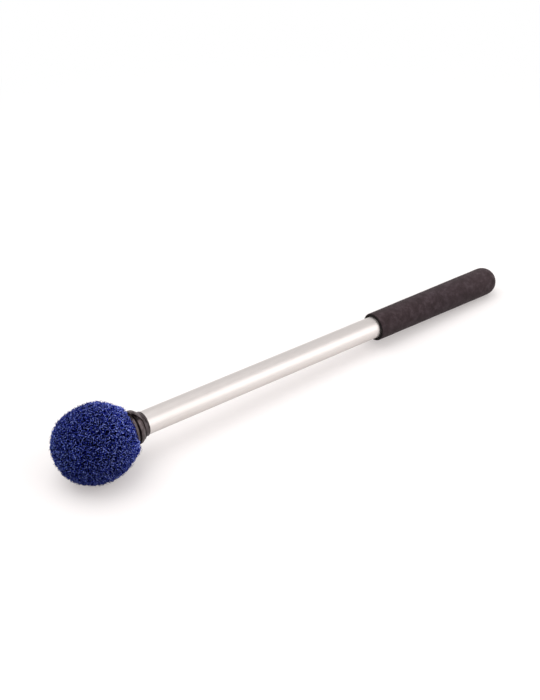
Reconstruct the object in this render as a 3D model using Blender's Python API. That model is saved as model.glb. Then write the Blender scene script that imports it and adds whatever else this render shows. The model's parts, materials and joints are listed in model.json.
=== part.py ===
"""Surdo mallet: a plush-covered head on an aluminium tube with a foam grip.

Every piece is modelled about the local Z axis, with stations measured along it from the
tip of the head, and is parented to the empty mallet_axis. The empty lays the mallet on
the floor, z = 0, on its head and on the end of its grip, with the head towards -X.
"""

import math

import bmesh
import bpy
import numpy as np
from mathutils import Matrix, Vector
from mathutils.geometry import interpolate_bezier

MM = 0.001

# Whole mallet
MALLET_LENGTH = 460.0 * MM
SEAT_GAP = 0.3 * MM  # left between pieces that touch
REST_FLAT_DEPTH = 0.5 * MM  # how far the soft pieces flatten on the floor
ROUND_STEPS = 48

# Shaft
TUBE_DIAMETER = 19.05 * MM
TUBE_WALL = 1.5 * MM
TUBE_EDGE_BREAK = 0.3 * MM
DOWEL_LENGTH = 62.0 * MM
DOWEL_CHAMFER = 1.0 * MM

# Grip
GRIP_LENGTH = 150.0 * MM
GRIP_MOUTH_WALL = 2.5 * MM
GRIP_BUTT_WALL = 3.05 * MM
GRIP_LIP_RADIUS = 1.1 * MM
GRIP_MOUTH_CHAMFER = 0.5 * MM
GRIP_END_WALL = 8.0 * MM  # foam between the end plug and the butt
GRIP_DOME_POINTS = 9

# Plug in the butt end of the tube
PLUG_FLANGE = 1.5 * MM
PLUG_DEPTH = 12.0 * MM
PLUG_WALL = 1.3 * MM
PLUG_RIB_HEIGHT = 0.5 * MM
PLUG_RIB_PITCH = 3.0 * MM
PLUG_RIBS = 3

# Head, over the tips of the pile
HEAD_LENGTH = 66.0 * MM
HEAD_DIAMETER = 61.0 * MM
COVER_THICKNESS = 4.5 * MM
LINING_MOUTH = 3.4 * MM  # from the tube out to where the lining starts to swell
COVER_STEPS = 36
COVER_DOME_STEPS = 12
COVER_LINING_POINTS = 10

# Where the cover is drawn in
SHOULDER_WIDTH = 5.5 * MM  # from the binding out to the round of the head
SHOULDER_RISE = 1.0 * MM
FOLD_DEPTH = 0.5 * MM
TAIL_THICKNESS = 1.5 * MM
TAIL_TIP_THICKNESS = 0.3 * MM
GATHERS = 9
GATHER_HEIGHT = 0.8 * MM
GATHER_LENGTH = 12.0 * MM

# Twine that ties the gathered cloth
TWINE_DIAMETER = 0.9 * MM
TWINE_PITCH = 1.4 * MM
TWINE_TURNS = 3
TWINE_POINTS_PER_TURN = 24

# Strip bound over the twine, from the head side to the shaft side
BINDING_TURN_WIDTHS = (3.6 * MM, 6.4 * MM, 5.0 * MM)
BINDING_THICKNESSES = (1.1 * MM, 1.5 * MM, 0.5 * MM)
BINDING_TURN_GAP = 0.5 * MM
BINDING_CROSSING = 0.25  # share of a turn in which the strip crosses to the next turn
BINDING_END_RUN = 0.2  # share of a crossing that each end runs past its middle
BINDING_CROSSING_ANGLE = math.radians(18.0)
BINDING_SLOPE_FROM = 2.0 * MM  # into the second turn, where the strip starts down to the tube
BINDING_SLOPE_RUN = 5.2 * MM
BINDING_EDGE_SHARE = 0.55  # thickness of the strip's edge against its middle
BINDING_STEPS_PER_TURN = 24
BINDING_LAP = 0.7 * MM  # from the fold in the cloth to the strip's first edge

# Padding
FELT_THICKNESS = 3.0 * MM
FELT_LAYER_GAP = 0.45 * MM
FELT_STEPS_PER_TURN = 32
FRONT_PAD_THICKNESS = 8.9 * MM

# Wooden core and its fixings
CORE_WALL = 5.2 * MM
CORE_FRONT_DEPTH = 14.0 * MM  # wood between the front face and the socket
CORE_EDGE_RADIUS = 2.5 * MM
CORE_REAR_TAPER = 6.0 * MM
CORE_REAR_WALL = 1.7 * MM
CORE_REAR_ROOM = 0.6 * MM
SCREW_DIAMETER = 4.2 * MM
SCREW_PIN_ROOM = 3.2 * MM  # from the screw's point to the lock pin
SCREW_POINT = 4.0 * MM
SCREW_HEAD_DIAMETER = 9.0 * MM
SCREW_HEAD_HEIGHT = 2.9 * MM
SCREW_CROSS_WIDTH = 1.1 * MM
SCREW_CROSS_LENGTH = 5.2 * MM
SCREW_CROSS_DEPTH = 1.3 * MM
WASHER_DIAMETER = 16.0 * MM
WASHER_THICKNESS = 1.2 * MM
PIN_DIAMETER = 3.0 * MM
PIN_CHAMFER = 0.4 * MM
PIN_SETBACK = 0.5 * MM  # from the core's surface to the pin's end
PIN_FROM_CORE_REAR = 9.0 * MM

# Radii that follow
TUBE_RADIUS = TUBE_DIAMETER / 2
BORE_RADIUS = TUBE_RADIUS - TUBE_WALL
SEAT_RADIUS = TUBE_RADIUS + SEAT_GAP  # of whatever slides over the tube
IN_BORE_RADIUS = BORE_RADIUS - SEAT_GAP  # of whatever slides into it
TAIL_RADIUS = SEAT_RADIUS + TAIL_THICKNESS
TWINE_RADIUS = TAIL_RADIUS + SEAT_GAP + TWINE_DIAMETER / 2
OVER_TWINE_RADIUS = TWINE_RADIUS + TWINE_DIAMETER / 2 + SEAT_GAP
BINDING_RADIUS = OVER_TWINE_RADIUS + BINDING_THICKNESSES[0]
CORE_RADIUS = SEAT_RADIUS + CORE_WALL
CORE_REAR_RADIUS = SEAT_RADIUS + CORE_REAR_WALL
GRIP_MOUTH_RADIUS = SEAT_RADIUS + GRIP_MOUTH_WALL
GRIP_BUTT_RADIUS = SEAT_RADIUS + GRIP_BUTT_WALL

# The head is an ellipsoid of revolution, and its lining is another inside it
HEAD_CENTRE = HEAD_LENGTH / 2
HEAD_RADIUS = HEAD_DIAMETER / 2
LINING_HALF = HEAD_LENGTH / 2 - COVER_THICKNESS
LINING_RADIUS = HEAD_RADIUS - COVER_THICKNESS
PADDING_HALF = LINING_HALF - SEAT_GAP
PADDING_RADIUS = LINING_RADIUS - SEAT_GAP


def ellipse_reach(radius, half_length, half_width):
    """How far from its middle an ellipse has narrowed to this radius."""
    return half_length * math.sqrt(max(0.0, 1 - (radius / half_width) ** 2))


# Stations along the mallet
SHOULDER_RADIUS = BINDING_RADIUS + SHOULDER_WIDTH
SHOULDER = HEAD_CENTRE + ellipse_reach(SHOULDER_RADIUS, HEAD_CENTRE, HEAD_RADIUS)
FOLD = SHOULDER + SHOULDER_RISE
BINDING_START = FOLD + BINDING_LAP
TWINE_START = BINDING_START + TWINE_DIAMETER
SEAT_SLOPE_START = BINDING_START + BINDING_TURN_WIDTHS[0] + BINDING_SLOPE_FROM
SEAT_SLOPE_END = SEAT_SLOPE_START + BINDING_SLOPE_RUN
LINING_END_RADIUS = SEAT_RADIUS + LINING_MOUTH
LINING_END = HEAD_CENTRE + ellipse_reach(LINING_END_RADIUS, LINING_HALF, LINING_RADIUS)
CORE_FRONT = HEAD_CENTRE - LINING_HALF + FRONT_PAD_THICKNESS + 2 * SEAT_GAP
CORE_REAR = LINING_END - CORE_REAR_ROOM
SOCKET_FLOOR = CORE_FRONT + CORE_FRONT_DEPTH
TUBE_START = SOCKET_FLOOR + SEAT_GAP
DOWEL_END = TUBE_START + DOWEL_LENGTH
WASHER_FRONT = CORE_FRONT - SEAT_GAP - WASHER_THICKNESS
SCREW_SEAT = WASHER_FRONT - SEAT_GAP
SCREW_FRONT = SCREW_SEAT - SCREW_HEAD_HEIGHT
PIN_STATION = CORE_REAR - PIN_FROM_CORE_REAR
SCREW_TIP = PIN_STATION - PIN_DIAMETER / 2 - SCREW_PIN_ROOM
GRIP_MOUTH = MALLET_LENGTH - GRIP_LENGTH
GRIP_DOME = MALLET_LENGTH - GRIP_BUTT_RADIUS
GRIP_BORE_END = MALLET_LENGTH - GRIP_END_WALL
PLUG_FACE = GRIP_BORE_END - SEAT_GAP
TUBE_END = PLUG_FACE - PLUG_FLANGE - SEAT_GAP


def finish_material(name, colour, roughness, metallic=0.0):
    material = bpy.data.materials.new(name)
    material.use_nodes = True
    shader = material.node_tree.nodes["Principled BSDF"]
    shader.inputs["Base Color"].default_value = (*colour, 1)
    shader.inputs["Roughness"].default_value = roughness
    shader.inputs["Metallic"].default_value = metallic
    material.diffuse_color = (*colour, 1)
    return material


def add_piece(name, shape, material, axis_empty):
    """Turns a bmesh into a named, smooth shaded object on the mallet's axis."""
    bmesh.ops.recalc_face_normals(shape, faces=shape.faces)
    mesh = bpy.data.meshes.new(name)
    shape.to_mesh(mesh)
    shape.free()
    mesh.shade_smooth()
    mesh.set_sharp_from_angle(angle=math.radians(35))
    mesh.materials.append(material)
    piece = bpy.data.objects.new(name, mesh)
    piece.parent = axis_empty
    bpy.context.scene.collection.objects.link(piece)
    return piece


def turned_shape(outline, steps=ROUND_STEPS):
    """Spins an outline of (radius, station) pairs about Z.

    An outline that starts and ends on the axis is a full body, and any other is a ring.
    """
    shape = bmesh.new()
    points = [shape.verts.new((radius, 0, station)) for radius, station in outline]
    edges = [shape.edges.new(pair) for pair in zip(points, points[1:])]
    if outline[0][0] > 0:
        edges.append(shape.edges.new((points[-1], points[0])))
    bmesh.ops.spin(
        shape,
        geom=points + edges,
        axis=(0, 0, 1),
        cent=(0, 0, 0),
        steps=steps,
        angle=2 * math.pi,
        use_merge=True,
    )
    bmesh.ops.remove_doubles(shape, verts=shape.verts, dist=1e-7)
    return shape


def arc(centre_radius, centre_station, radius, start, end, count):
    """Points on a quarter turn or less. 0 degrees is outwards and 90 towards the butt."""
    angles = np.radians(np.linspace(start, end, count))
    return [
        (centre_radius + radius * math.cos(angle), centre_station + radius * math.sin(angle))
        for angle in angles
    ]


def ellipse_arc(half_length, half_width, start, end, count):
    """Points on an ellipse about the head's centre. 0 is its front pole and 180 its rear."""
    angles = np.radians(np.linspace(start, end, count))
    return [
        (half_width * math.sin(angle), HEAD_CENTRE - half_length * math.cos(angle))
        for angle in angles
    ]


def cutter(name, shape, axis_empty=None):
    """A helper body for a Boolean, left out of the mallet."""
    bmesh.ops.recalc_face_normals(shape, faces=shape.faces)
    mesh = bpy.data.meshes.new(name)
    shape.to_mesh(mesh)
    shape.free()
    helper = bpy.data.objects.new(name, mesh)
    helper.parent = axis_empty
    helper.hide_render = True
    helper.display_type = "WIRE"
    bpy.context.scene.collection.objects.link(helper)
    return helper


def block(size, centre):
    shape = bmesh.new()
    place = Matrix.Translation(centre) @ Matrix.Diagonal((*size, 1))
    bmesh.ops.create_cube(shape, size=1, matrix=place)
    return shape


def cut(piece, helper):
    boolean = piece.modifiers.new(helper.name, "BOOLEAN")
    boolean.operation = "DIFFERENCE"
    boolean.solver = "EXACT"
    boolean.object = helper


def smooth_step(share):
    share = min(1.0, max(0.0, share))
    return share * share * (3 - 2 * share)


def undo_smooth_step(value):
    return 0.5 - math.sin(math.asin(1 - 2 * value) / 3)


def binding_seat(station):
    """Radius that the strip lies on: over the twine, down the cloth's tail, on the tube."""
    share = (station - SEAT_SLOPE_START) / (SEAT_SLOPE_END - SEAT_SLOPE_START)
    return OVER_TWINE_RADIUS + (SEAT_RADIUS - OVER_TWINE_RADIUS) * smooth_step(share)


def binding_seam(turns):
    """Station of the seam between two turns, which climbs by a turn's width at each crossing."""
    station = BINDING_START
    for count, width in enumerate(BINDING_TURN_WIDTHS):
        station += width * smooth_step((turns - count) / BINDING_CROSSING + 0.5)
    return station


def binding_thickness(turns):
    first, second, third = BINDING_THICKNESSES
    second_share = smooth_step((turns - 1) / BINDING_CROSSING + 0.5)
    third_share = smooth_step((turns - 2) / BINDING_CROSSING + 0.5)
    return first + (second - first) * second_share + (third - second) * third_share


def binding_section(turns):
    """The strip's cross-section at one point of its length, in the local frame."""
    angle = 2 * math.pi * turns + BINDING_CROSSING_ANGLE
    low = binding_seam(turns - 1) + BINDING_TURN_GAP / 2
    high = binding_seam(turns) - BINDING_TURN_GAP / 2
    thickness = binding_thickness(turns)
    inner = [(share, 0.0) for share in (1.0, 0.5, 0.0)]
    crown = ((0.0, BINDING_EDGE_SHARE), (0.22, 0.9), (0.5, 1.0), (0.78, 0.9), (1.0, BINDING_EDGE_SHARE))
    points = []
    for share, height in inner + list(crown):
        station = low + (high - low) * share
        radius = binding_seat(station) + thickness * height
        points.append((radius * math.cos(angle), radius * math.sin(angle), station))
    return points


def ring_loft(sections):
    """One closed tube through sections of equally many points, with flat ends."""
    shape = bmesh.new()
    rings = [[shape.verts.new(point) for point in section] for section in sections]
    for ring, following in zip(rings, rings[1:]):
        for index in range(len(ring)):
            before = index - 1
            shape.faces.new((ring[before], ring[index], following[index], following[before]))
    shape.faces.new(rings[0])
    shape.faces.new(reversed(rings[-1]))
    return shape


def least_gap(sections, steps_apart):
    """Least distance between points of a winding that lie at least so many steps apart."""
    rings = np.array(sections)
    least = math.inf
    for index in range(len(rings) - steps_apart):
        later = rings[index + steps_apart :].reshape(-1, 3)
        apart = np.linalg.norm(rings[index][:, None] - later[None], axis=2)
        least = min(least, float(apart.min()))
    return least


def make_tube(axis_empty, pin_hole):
    material = finish_material("anodised_aluminium", (0.78, 0.77, 0.76), 0.34, 1.0)
    outer, inner, edge = TUBE_RADIUS, BORE_RADIUS, TUBE_EDGE_BREAK
    outline = [
        (inner, TUBE_START + edge),
        (inner + edge, TUBE_START),
        (outer - edge, TUBE_START),
        (outer, TUBE_START + edge),
        (outer, TUBE_END - edge),
        (outer - edge, TUBE_END),
        (inner + edge, TUBE_END),
        (inner, TUBE_END - edge),
    ]
    cut(add_piece("shaft_tube", turned_shape(outline), material, axis_empty), pin_hole)


def make_dowel(axis_empty, pin_hole):
    """Fills the head end of the tube, with a pilot hole for the screw."""
    material = finish_material("dowel_beech", (0.66, 0.48, 0.30), 0.7)
    pilot = SCREW_DIAMETER / 2 + SEAT_GAP
    pilot_floor = SCREW_TIP + SEAT_GAP
    outline = [
        (0, pilot_floor),
        (pilot, pilot_floor - pilot),
        (pilot, TUBE_START),
        (IN_BORE_RADIUS, TUBE_START),
        (IN_BORE_RADIUS, DOWEL_END - DOWEL_CHAMFER),
        (IN_BORE_RADIUS - DOWEL_CHAMFER, DOWEL_END),
        (0, DOWEL_END),
    ]
    cut(add_piece("shaft_dowel", turned_shape(outline), material, axis_empty), pin_hole)


def make_grip(axis_empty, floor_cut):
    """Foam sleeve over the tube, flaring towards its closed, domed end."""
    material = finish_material("grip_foam", (0.055, 0.045, 0.048), 0.85)
    lip = GRIP_LIP_RADIUS
    outline = [
        (0, GRIP_BORE_END),
        (SEAT_RADIUS, GRIP_BORE_END),
        (SEAT_RADIUS, GRIP_MOUTH + GRIP_MOUTH_CHAMFER),
        (SEAT_RADIUS + GRIP_MOUTH_CHAMFER, GRIP_MOUTH),
    ]
    outline += arc(GRIP_MOUTH_RADIUS - lip, GRIP_MOUTH + lip, lip, -90, 0, 4)
    dome = arc(0, GRIP_DOME, GRIP_BUTT_RADIUS, 0, 90, GRIP_DOME_POINTS)
    outline += dome[:-1] + [(0, MALLET_LENGTH)]
    cut(add_piece("grip_sleeve", turned_shape(outline), material, axis_empty), floor_cut)


def make_end_plug(axis_empty):
    """Push-in cup with a flange over the tube's cut end and ribs that grip its bore."""
    material = finish_material("black_plastic", (0.03, 0.03, 0.03), 0.5)
    flange_back = PLUG_FACE - PLUG_FLANGE
    wall = IN_BORE_RADIUS - PLUG_RIB_HEIGHT
    cup = wall - PLUG_WALL
    outline = [(0, PLUG_FACE), (TUBE_RADIUS, PLUG_FACE), (TUBE_RADIUS, flange_back)]
    outline.append((wall, flange_back))
    for rib in range(PLUG_RIBS):
        crest = flange_back - PLUG_RIB_PITCH * (rib + 1)
        outline.append((wall, crest + PLUG_RIB_HEIGHT))
        outline.append((IN_BORE_RADIUS, crest + PLUG_RIB_HEIGHT))
        outline.append((wall, crest - PLUG_RIB_HEIGHT))
    mouth = flange_back - PLUG_DEPTH
    outline += [(wall, mouth), (cup, mouth), (cup, flange_back), (0, flange_back)]
    add_piece("tube_end_plug", turned_shape(outline), material, axis_empty)


def make_cover(axis_empty, floor_cut):
    """Plush cloth drawn in behind the head, with its tail lying along the tube.

    The facets of its lining go round the padding's ellipsoid and don't cut into it.
    """
    material = finish_material("blue_plush", (0.11, 0.15, 0.47), 0.95)
    rim_angle = 180 - math.degrees(math.asin(SHOULDER_RADIUS / HEAD_RADIUS))
    outline = ellipse_arc(HEAD_CENTRE, HEAD_RADIUS, 0, rim_angle, COVER_DOME_STEPS + 1)
    outline[0] = (0, 0)
    along = Vector(outline[-1]) - Vector(outline[-2])
    shoulder_foot = Vector((OVER_TWINE_RADIUS, FOLD - FOLD_DEPTH))
    shoulder = interpolate_bezier(
        Vector(outline[-1]),
        Vector(outline[-1]) + along.normalized() * SHOULDER_WIDTH * 0.55,
        shoulder_foot + Vector((SHOULDER_WIDTH * 0.35, SHOULDER_RISE * 0.75)),
        shoulder_foot,
        6,
    )
    outline += [tuple(point) for point in shoulder[1:]]
    tail_start = FOLD + TAIL_THICKNESS * 0.7
    outline.append((TAIL_RADIUS, tail_start))
    tip_drop = OVER_TWINE_RADIUS - (SEAT_RADIUS + TAIL_TIP_THICKNESS + SEAT_GAP)
    tip_share = undo_smooth_step(tip_drop / (OVER_TWINE_RADIUS - SEAT_RADIUS))
    tail_end = SEAT_SLOPE_START + BINDING_SLOPE_RUN * tip_share
    for station in np.linspace(SEAT_SLOPE_START, tail_end, 5)[1:]:
        radius = min(TAIL_RADIUS, binding_seat(station) - SEAT_GAP)
        outline.append((radius, float(station)))
    outline.append((SEAT_RADIUS, outline[-1][1]))
    outline.append((SEAT_RADIUS, FOLD))
    lining_angle = 180 - math.degrees(math.asin(LINING_END_RADIUS / LINING_RADIUS))
    half_step = math.radians(lining_angle / (COVER_LINING_POINTS - 1) / 2)
    half = LINING_HALF / math.cos(half_step)
    radius = LINING_RADIUS / math.cos(half_step) / math.cos(math.pi / COVER_STEPS)
    lining = ellipse_arc(half, radius, lining_angle, 0, COVER_LINING_POINTS)
    outline += lining[:-1] + [(0, HEAD_CENTRE - half)]

    shape = turned_shape(outline, COVER_STEPS)
    middle_half = (HEAD_CENTRE + LINING_HALF) / 2
    middle_radius = (HEAD_RADIUS + LINING_RADIUS) / 2
    for vertex in shape.verts:
        radius = math.hypot(vertex.co.x, vertex.co.y)
        depth = (radius / middle_radius) ** 2 + ((vertex.co.z - HEAD_CENTRE) / middle_half) ** 2
        if depth < 1 or radius <= OVER_TWINE_RADIUS:
            continue
        swell = smooth_step((vertex.co.z - FOLD + GATHER_LENGTH) / GATHER_LENGTH)
        angle = math.atan2(vertex.co.y, vertex.co.x)
        raised = radius + GATHER_HEIGHT * swell * math.cos(GATHERS * angle)
        vertex.co.x *= raised / radius
        vertex.co.y *= raised / radius
    cut(add_piece("plush_cover", shape, material, axis_empty), floor_cut)


def make_twine(axis_empty):
    """Turns of twine round the cloth's tail, under the strip."""
    material = finish_material("waxed_twine", (0.75, 0.70, 0.58), 0.8)
    route = []
    for step in range(TWINE_TURNS * TWINE_POINTS_PER_TURN + 1):
        turns = step / TWINE_POINTS_PER_TURN
        angle = 2 * math.pi * turns
        station = TWINE_START + TWINE_PITCH * turns
        route.append((TWINE_RADIUS * math.cos(angle), TWINE_RADIUS * math.sin(angle), station))
    line = bpy.data.curves.new("tie_cord", "CURVE")
    line.dimensions = "3D"
    spline = line.splines.new("POLY")
    spline.points.add(len(route) - 1)
    for point, place in zip(spline.points, route):
        point.co = (*place, 1)
    line.bevel_depth = TWINE_DIAMETER / 2
    line.bevel_resolution = 1
    line.use_fill_caps = True
    line.materials.append(material)
    twine = bpy.data.objects.new("tie_cord", line)
    twine.parent = axis_empty
    bpy.context.scene.collection.objects.link(twine)
    spacing = least_gap([[place] for place in route], TWINE_POINTS_PER_TURN // 2)
    print(f"tie_cord least gap to itself: {(spacing - TWINE_DIAMETER) / MM:.2f} mm")


def make_binding(axis_empty):
    """Black strip wound over the twine and the end of the cloth, down onto the tube."""
    material = finish_material("black_strip", (0.045, 0.038, 0.034), 0.38)
    end_run = BINDING_END_RUN * BINDING_CROSSING
    first, last = -end_run, len(BINDING_TURN_WIDTHS) + end_run
    count = round((last - first) * BINDING_STEPS_PER_TURN) + 1
    sections = [binding_section(turns) for turns in np.linspace(first, last, count)]
    add_piece("binding_strip", ring_loft(sections), material, axis_empty)
    gap = least_gap(sections, BINDING_STEPS_PER_TURN // 2)
    print(f"binding_strip least gap to itself: {gap / MM:.2f} mm")


def make_core(axis_empty, pin_hole):
    """Turned core with a socket for the tube and a clearance hole for the screw."""
    material = finish_material("core_beech", (0.70, 0.52, 0.33), 0.65)
    screw_hole = SCREW_DIAMETER / 2 + SEAT_GAP
    edge = CORE_EDGE_RADIUS
    outline = [
        (screw_hole, SOCKET_FLOOR),
        (screw_hole, CORE_FRONT),
    ]
    outline += arc(CORE_RADIUS - edge, CORE_FRONT + edge, edge, -90, 0, 5)
    outline += [
        (CORE_RADIUS, CORE_REAR - CORE_REAR_TAPER),
        (CORE_REAR_RADIUS, CORE_REAR),
        (SEAT_RADIUS, CORE_REAR),
        (SEAT_RADIUS, SOCKET_FLOOR),
    ]
    cut(add_piece("head_core", turned_shape(outline), material, axis_empty), pin_hole)


def make_washer(axis_empty):
    material = finish_material("zinc_washer", (0.62, 0.62, 0.60), 0.4, 1.0)
    hole = SCREW_DIAMETER / 2 + SEAT_GAP
    rim = WASHER_DIAMETER / 2
    back = WASHER_FRONT + WASHER_THICKNESS
    outline = [(hole, WASHER_FRONT), (rim, WASHER_FRONT), (rim, back), (hole, back)]
    add_piece("core_washer", turned_shape(outline), material, axis_empty)


def make_screw(axis_empty):
    """Pan head screw with a cross recess. Its thread is left plain."""
    material = finish_material("zinc_screw", (0.66, 0.65, 0.62), 0.35, 1.0)
    shank, head = SCREW_DIAMETER / 2, SCREW_HEAD_DIAMETER / 2
    round_part = SCREW_HEAD_HEIGHT * 0.6
    outline = [
        (0, SCREW_FRONT),
        (head - round_part, SCREW_FRONT),
        (head - round_part * 0.3, SCREW_FRONT + round_part * 0.3),
        (head, SCREW_FRONT + round_part),
        (head, SCREW_SEAT),
        (shank, SCREW_SEAT),
        (shank, SCREW_TIP - SCREW_POINT),
        (0, SCREW_TIP),
    ]
    screw = add_piece("core_screw", turned_shape(outline, ROUND_STEPS // 2), material, axis_empty)
    depth = 2 * SCREW_CROSS_DEPTH
    arms = (
        (SCREW_CROSS_LENGTH, SCREW_CROSS_WIDTH, depth),
        (SCREW_CROSS_WIDTH, SCREW_CROSS_LENGTH, depth),
    )
    for number, size in enumerate(arms, 1):
        cut(screw, cutter(f"cross_arm_{number}", block(size, (0, 0, SCREW_FRONT)), axis_empty))


def pin_shape(radius, half_length, chamfer):
    """A round pin across the mallet, along local Y."""
    outline = [
        (0, -half_length),
        (radius - chamfer, -half_length),
        (radius, -half_length + chamfer),
        (radius, half_length - chamfer),
        (radius - chamfer, half_length),
        (0, half_length),
    ]
    shape = turned_shape(outline, ROUND_STEPS // 2)
    place = Matrix.Translation((0, 0, PIN_STATION)) @ Matrix.Rotation(math.pi / 2, 4, "X")
    bmesh.ops.transform(shape, matrix=place, verts=shape.verts)
    return shape


def make_pin(axis_empty):
    material = finish_material("steel_pin", (0.56, 0.56, 0.57), 0.3, 1.0)
    shape = pin_shape(PIN_DIAMETER / 2, CORE_RADIUS - PIN_SETBACK, PIN_CHAMFER)
    add_piece("lock_pin", shape, material, axis_empty)


def make_felt_wrap(axis_empty):
    """A felt strip wound round the core, its edges trimmed to the round of the head."""
    material = finish_material("grey_felt", (0.42, 0.41, 0.39), 0.95)
    pitch = FELT_THICKNESS + FELT_LAYER_GAP
    start_radius = CORE_RADIUS + SEAT_GAP
    turns = (PADDING_RADIUS - FELT_THICKNESS - start_radius) / pitch - 0.1
    steps = round(turns * FELT_STEPS_PER_TURN)

    def edge_stations(radius):
        reach = ellipse_reach(radius, PADDING_HALF, PADDING_RADIUS)
        return max(CORE_FRONT, HEAD_CENTRE - reach), HEAD_CENTRE + reach

    sections = []
    for step in range(steps + 1):
        wound = turns * step / steps
        angle = 2 * math.pi * wound
        inner = start_radius + pitch * wound
        outer = inner + FELT_THICKNESS
        (inner_front, inner_rear), (outer_front, outer_rear) = edge_stations(inner), edge_stations(outer)
        corners = (
            (inner, inner_rear),
            (inner, inner_front),
            (outer, outer_front),
            (outer, outer_rear),
        )
        sections.append(
            [(radius * math.cos(angle), radius * math.sin(angle), z) for radius, z in corners]
        )
    add_piece("felt_wrap", ring_loft(sections), material, axis_empty)
    gap = least_gap(sections, FELT_STEPS_PER_TURN // 2)
    print(f"felt_wrap: {turns:.2f} turns, least gap to itself {gap / MM:.2f} mm")


def make_front_pad(axis_empty):
    """Domed pad over the striking end, hollowed for the screw head and washer."""
    material = finish_material("white_felt", (0.72, 0.71, 0.67), 0.95)
    back = CORE_FRONT - SEAT_GAP
    front = HEAD_CENTRE - PADDING_HALF
    rim_angle = math.degrees(math.acos((HEAD_CENTRE - back) / PADDING_HALF))
    outline = ellipse_arc(PADDING_HALF, PADDING_RADIUS, 0, rim_angle, 7)
    outline[0] = (0, front)
    washer_pocket = WASHER_DIAMETER / 2 + SEAT_GAP
    head_pocket = SCREW_HEAD_DIAMETER / 2 + SEAT_GAP
    outline += [
        (washer_pocket, back),
        (washer_pocket, SCREW_SEAT),
        (head_pocket, SCREW_SEAT),
        (head_pocket, SCREW_FRONT - SEAT_GAP),
        (0, SCREW_FRONT - SEAT_GAP),
    ]
    add_piece("felt_front_pad", turned_shape(outline), material, axis_empty)


def lay_on_floor():
    """The empty that tilts the mallet until head and grip both rest on z = 0.

    The head's centre stands at the ellipsoid's depth below it and the grip's dome at its
    radius, each less the depth of its flat. The mallet is centred on x = 0.
    """
    between = GRIP_DOME - HEAD_CENTRE
    sine = 0.0
    for _ in range(4):
        head_depth = math.hypot(HEAD_CENTRE * sine, HEAD_RADIUS * math.sqrt(1 - sine**2))
        sine = (head_depth - GRIP_BUTT_RADIUS) / between
    cosine = math.sqrt(1 - sine**2)
    head_reach = math.hypot(HEAD_CENTRE * cosine, HEAD_RADIUS * sine)
    low_x = HEAD_CENTRE * cosine - head_reach
    high_x = GRIP_DOME * cosine + GRIP_BUTT_RADIUS
    up, across, along = Vector((sine, 0, cosine)), Vector((0, -1, 0)), Vector((cosine, 0, -sine))
    turn = Matrix((up, across, along)).transposed()
    height = head_depth - REST_FLAT_DEPTH + HEAD_CENTRE * sine
    empty = bpy.data.objects.new("mallet_axis", None)
    bpy.context.scene.collection.objects.link(empty)
    empty.matrix_world = Matrix.Translation((-(low_x + high_x) / 2, 0, height)) @ turn.to_4x4()
    return empty


def main():
    for leftover in list(bpy.data.objects):
        bpy.data.objects.remove(leftover)
    axis_empty = lay_on_floor()
    floor_size = (2 * MALLET_LENGTH, 4 * HEAD_DIAMETER, HEAD_DIAMETER)
    floor_cut = cutter("floor_cut", block(floor_size, (0, 0, -HEAD_DIAMETER / 2)))
    hole = pin_shape(PIN_DIAMETER / 2 + SEAT_GAP, CORE_RADIUS * 1.2, 0)
    pin_hole = cutter("pin_hole", hole, axis_empty)

    make_tube(axis_empty, pin_hole)
    make_dowel(axis_empty, pin_hole)
    make_grip(axis_empty, floor_cut)
    make_end_plug(axis_empty)
    make_cover(axis_empty, floor_cut)
    make_twine(axis_empty)
    make_binding(axis_empty)
    make_core(axis_empty, pin_hole)
    make_washer(axis_empty)
    make_screw(axis_empty)
    make_pin(axis_empty)
    make_felt_wrap(axis_empty)
    make_front_pad(axis_empty)


main()
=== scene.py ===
"""Looks of the surdo mallet: looped plush head, wound strip, satin tube and foam grip.

The pieces are modelled about the mallet's own axis, with stations measured along it from
the tip of the head and angles measured round it from its upper side towards the camera,
and are then laid down by one transform that is worked out from the CAD nodes.
"""

import json
import math

import bmesh
import bpy
import numpy as np
from mathutils import Matrix, Vector, noise


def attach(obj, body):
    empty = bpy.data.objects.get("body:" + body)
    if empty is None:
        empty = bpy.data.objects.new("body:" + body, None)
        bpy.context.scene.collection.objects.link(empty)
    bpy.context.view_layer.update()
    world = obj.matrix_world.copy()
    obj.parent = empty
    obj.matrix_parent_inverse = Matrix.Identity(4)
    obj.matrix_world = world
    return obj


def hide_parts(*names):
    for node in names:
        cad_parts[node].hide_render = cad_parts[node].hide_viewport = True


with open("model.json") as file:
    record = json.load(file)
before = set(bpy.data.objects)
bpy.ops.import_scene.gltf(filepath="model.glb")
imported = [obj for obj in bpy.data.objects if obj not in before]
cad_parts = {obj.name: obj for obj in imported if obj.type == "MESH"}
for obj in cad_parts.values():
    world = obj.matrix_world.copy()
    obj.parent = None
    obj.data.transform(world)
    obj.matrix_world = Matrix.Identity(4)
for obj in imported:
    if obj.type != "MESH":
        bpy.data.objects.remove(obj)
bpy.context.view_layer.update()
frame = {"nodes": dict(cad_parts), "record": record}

MM = 0.001
WHITE = (1.0, 1.0, 1.0)
MERGE_DISTANCE = 1e-6  # points nearer than this are joined
FIELD_OFFSET = (7.3, 1.7, 4.1)  # how far one seed's random field lies from the next

# The photograph's camera
IMAGE_WIDTH, IMAGE_HEIGHT = 540, 700
FOCAL_PIXELS = 1100.0
SENSOR = 36.0
CAMERA_AZIMUTH = math.radians(-37.66)
CAMERA_ELEVATION = math.radians(35.73)
CAMERA_CLIP = (0.05, 50.0)  # metres
NECK_STATION = 74.7 * MM
NECK_PIXEL = (142.6, 423.1)
NECK_DEPTH = 836.2 * MM

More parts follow.
